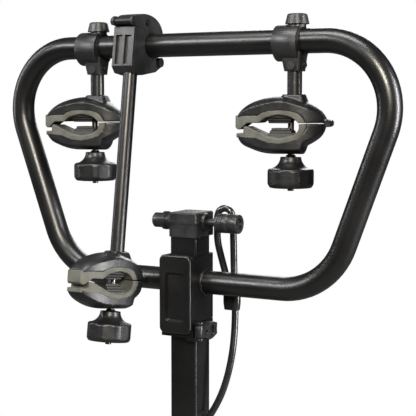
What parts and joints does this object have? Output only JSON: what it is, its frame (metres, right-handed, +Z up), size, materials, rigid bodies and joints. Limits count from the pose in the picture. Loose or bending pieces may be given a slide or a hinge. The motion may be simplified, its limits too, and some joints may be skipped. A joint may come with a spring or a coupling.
{
  "type": "hitch mounted bike rack",
  "caption": "Folding hitch bike rack mast with a height-adjustable tubular hoop, swivelling padded frame clamps on short and long arms, and a cable lock.",
  "frame": {"origin": "centre of the hitch pin bore in the shank", "axes": "+X along the pin bore, +Y along the shank towards the vehicle, +Z up along the mast"},
  "size_m": [0.5952, 0.3855, 0.6977],
  "materials": {
    "black_powder_coat": "satin orange peel",
    "satin_black_cover": "satin",
    "black_nylon": "fine grain",
    "black_jaw_plastic": "semi gloss",
    "grey_rubber": "matt",
    "cable_vinyl": "semi gloss",
    "lock_black": "semi gloss",
    "black_pin_coat": "satin",
    "grey_zinc": "satin",
    "zinc_steel": "bright zinc"
  },
  "bodies": {
    "base": {"hitch_shank": "black_powder_coat", "mast_foot": "black_powder_coat", "pivot_bolt": "zinc_steel"},
    "mast": {"mast_post": "black_powder_coat", "mast_cap": "black_nylon", "slot_bolt": "zinc_steel", "cable_grommet": "cable_vinyl", "lock_pin": "black_pin_coat", "lock_cable": "cable_vinyl", "cable_ferrule": "cable_vinyl"},
    "fold_knob": {"fold_knob": "black_nylon"},
    "lock": {"lock_barrel": "lock_black"},
    "lock_key": {"lock_core": "lock_black"},
    "hoop": {"hoop_tube": "black_powder_coat", "hoop_bracket": "black_powder_coat", "bracket_cover": "satin_black_cover", "post_liner": "black_nylon", "clamp_collar": "black_powder_coat", "clamp_shoe": "black_nylon", "lever_pin": "zinc_steel", "left_collar_bush": "black_nylon", "right_collar_bush": "black_nylon"},
    "height_lever": {"height_lever": "black_nylon"},
    "claw": {"claw_liner": "black_nylon", "claw_body": "black_nylon", "claw_hinge_bolt": "zinc_steel"},
    "claw_jaw": {"claw_jaw": "black_nylon", "latch_pins": "grey_zinc"},
    "claw_latch": {"claw_latch": "black_nylon"},
    "left_collar": {"left_collar": "black_nylon", "left_collar_cap": "black_nylon"},
    "left_head": {"left_stub": "black_powder_coat", "left_jaw_upper": "black_jaw_plastic", "left_pad_upper": "grey_rubber", "left_hinge_pin": "zinc_steel", "left_clamp_screw": "zinc_steel"},
    "left_jaw": {"left_jaw_lower": "black_jaw_plastic", "left_pad_lower": "grey_rubber"},
    "left_nut": {"left_knob_nut": "zinc_steel"},
    "left_knob": {"left_knob": "black_jaw_plastic"},
    "right_collar": {"right_collar": "black_nylon", "right_collar_cap": "black_nylon"},
    "right_head": {"right_stub": "black_powder_coat", "right_jaw_upper": "black_jaw_plastic", "right_pad_upper": "grey_rubber", "right_hinge_pin": "zinc_steel", "right_clamp_screw": "zinc_steel"},
    "right_jaw": {"right_jaw_lower": "black_jaw_plastic", "right_pad_lower": "grey_rubber"},
    "right_nut": {"right_knob_nut": "zinc_steel"},
    "right_knob": {"right_knob": "black_jaw_plastic"},
    "long_head": {"long_rod": "black_powder_coat", "long_jaw_upper": "black_jaw_plastic", "long_pad_upper": "grey_rubber", "long_hinge_pin": "zinc_steel", "long_clamp_screw": "zinc_steel"},
    "long_jaw": {"long_jaw_lower": "black_jaw_plastic", "long_pad_lower": "grey_rubber"},
    "long_nut": {"long_knob_nut": "zinc_steel"},
    "long_knob": {"long_knob": "black_jaw_plastic"}
  },
  "joints": [
    {"name": "mast_fold", "type": "hinge", "parent": "base", "child": "mast", "pos_m": [0, -0.17, 0], "axis": [1, 0, 0], "range_deg": [0, 80]},
    {"name": "fold_knob_spin", "type": "hinge", "parent": "mast", "child": "fold_knob", "pos_m": [0, -0.17, 0.05], "axis": [1, 0, 0], "continuous": true},
    {"name": "lock_barrel_pull", "type": "slide", "parent": "mast", "child": "lock", "axis": [1, 0, 0], "range_m": [0, 0.045]},
    {"name": "lock_key_turn", "type": "hinge", "parent": "lock", "child": "lock_key", "pos_m": [0.066, -0.1662, 0.391], "axis": [1, 0, 0], "range_deg": [0, 90]},
    {"name": "hoop_height", "type": "slide", "parent": "mast", "child": "hoop", "axis": [0, 0, 1], "range_m": [-0.07, 0.02]},
    {"name": "height_lever_turn", "type": "hinge", "parent": "hoop", "child": "height_lever", "pos_m": [0.0307, -0.2005, 0.248], "axis": [0, 0, -1], "range_deg": [0, 110]},
    {"name": "claw_turn", "type": "hinge", "parent": "hoop", "child": "claw", "pos_m": [-0.0715, -0.17, 0.63], "axis": [1, 0, 0], "range_deg": [-80, 0]},
    {"name": "claw_open", "type": "hinge", "parent": "claw", "child": "claw_jaw", "pos_m": [-0.0715, -0.15306, 0.60779], "axis": [-1, 0, 0], "range_deg": [0, 75]},
    {"name": "latch_lift", "type": "hinge", "parent": "claw_jaw", "child": "claw_latch", "pos_m": [-0.0715, -0.18166, 0.66053], "axis": [-1, 0, 0], "range_deg": [0, 35]},
    {"name": "left_collar_turn", "type": "hinge", "parent": "hoop", "child": "left_collar", "pos_m": [-0.15, -0.17, 0.63], "axis": [1, 0, 0], "range_deg": [-90, 90]},
    {"name": "left_swivel", "type": "hinge", "parent": "left_collar", "child": "left_head", "pos_m": [-0.15, -0.17, 0.586], "axis": [0, 0, 1], "range_deg": [-180, 180]},
    {"name": "left_knob_slide", "type": "slide", "parent": "left_head", "child": "left_nut", "axis": [0, 0, -1], "range_m": [-0.00038, 0.003]},
    {"name": "left_knob_spin", "type": "hinge", "parent": "left_nut", "child": "left_knob", "pos_m": [-0.15429, -0.17099, 0.456], "axis": [0, 0, -1], "range_deg": [-45, 360]},
    {"name": "left_jaw_hinge", "type": "hinge", "parent": "left_head", "child": "left_jaw", "pos_m": [-0.10615, -0.15988, 0.526], "axis": [-0.225, 0.9744, 0], "range_deg": [-3.48, 0.44]},
    {"name": "right_collar_turn", "type": "hinge", "parent": "hoop", "child": "right_collar", "pos_m": [0.154, -0.17, 0.63], "axis": [1, 0, 0], "range_deg": [-90, 90]},
    {"name": "right_swivel", "type": "hinge", "parent": "right_collar", "child": "right_head", "pos_m": [0.154, -0.17, 0.586], "axis": [0, 0, 1], "range_deg": [-180, 180]},
    {"name": "right_knob_slide", "type": "slide", "parent": "right_head", "child": "right_nut", "axis": [0, 0, -1], "range_m": [-0.00038, 0.003]},
    {"name": "right_knob_spin", "type": "hinge", "parent": "right_nut", "child": "right_knob", "pos_m": [0.14971, -0.17099, 0.456], "axis": [0, 0, -1], "range_deg": [-45, 360]},
    {"name": "right_jaw_hinge", "type": "hinge", "parent": "right_head", "child": "right_jaw", "pos_m": [0.19785, -0.15988, 0.526], "axis": [-0.225, 0.9744, 0], "range_deg": [-3.48, 0.44]},
    {"name": "long_swivel", "type": "hinge", "parent": "claw", "child": "long_head", "pos_m": [-0.0715, -0.23815, 0.37724], "axis": [0, 0.1461, 0.9893], "range_deg": [-100, 110]},
    {"name": "long_knob_slide", "type": "slide", "parent": "long_head", "child": "long_nut", "axis": [0, -0.1461, -0.9893], "range_m": [-0.00038, 0.003]},
    {"name": "long_knob_spin", "type": "hinge", "parent": "long_nut", "child": "long_knob", "pos_m": [-0.07241, -0.2614, 0.24927], "axis": [0, -0.1461, -0.9893], "range_deg": [-45, 360]},
    {"name": "long_jaw_hinge", "type": "hinge", "parent": "long_head", "child": "long_jaw", "pos_m": [-0.06214, -0.20337, 0.31146], "axis": [-0.9781, 0.2057, -0.0304], "range_deg": [-3.48, 0.44]}
  ],
  "couplings": [
    {"joint": "left_knob_slide", "follows": "left_knob_spin", "m_per_rad": 0.00047746},
    {"joint": "left_jaw_hinge", "follows": "left_knob_spin", "ratio": -0.0096653},
    {"joint": "right_knob_slide", "follows": "right_knob_spin", "m_per_rad": 0.00047746},
    {"joint": "right_jaw_hinge", "follows": "right_knob_spin", "ratio": -0.0096653},
    {"joint": "long_knob_slide", "follows": "long_knob_spin", "m_per_rad": 0.00047746},
    {"joint": "long_jaw_hinge", "follows": "long_knob_spin", "ratio": -0.0096653}
  ]
}
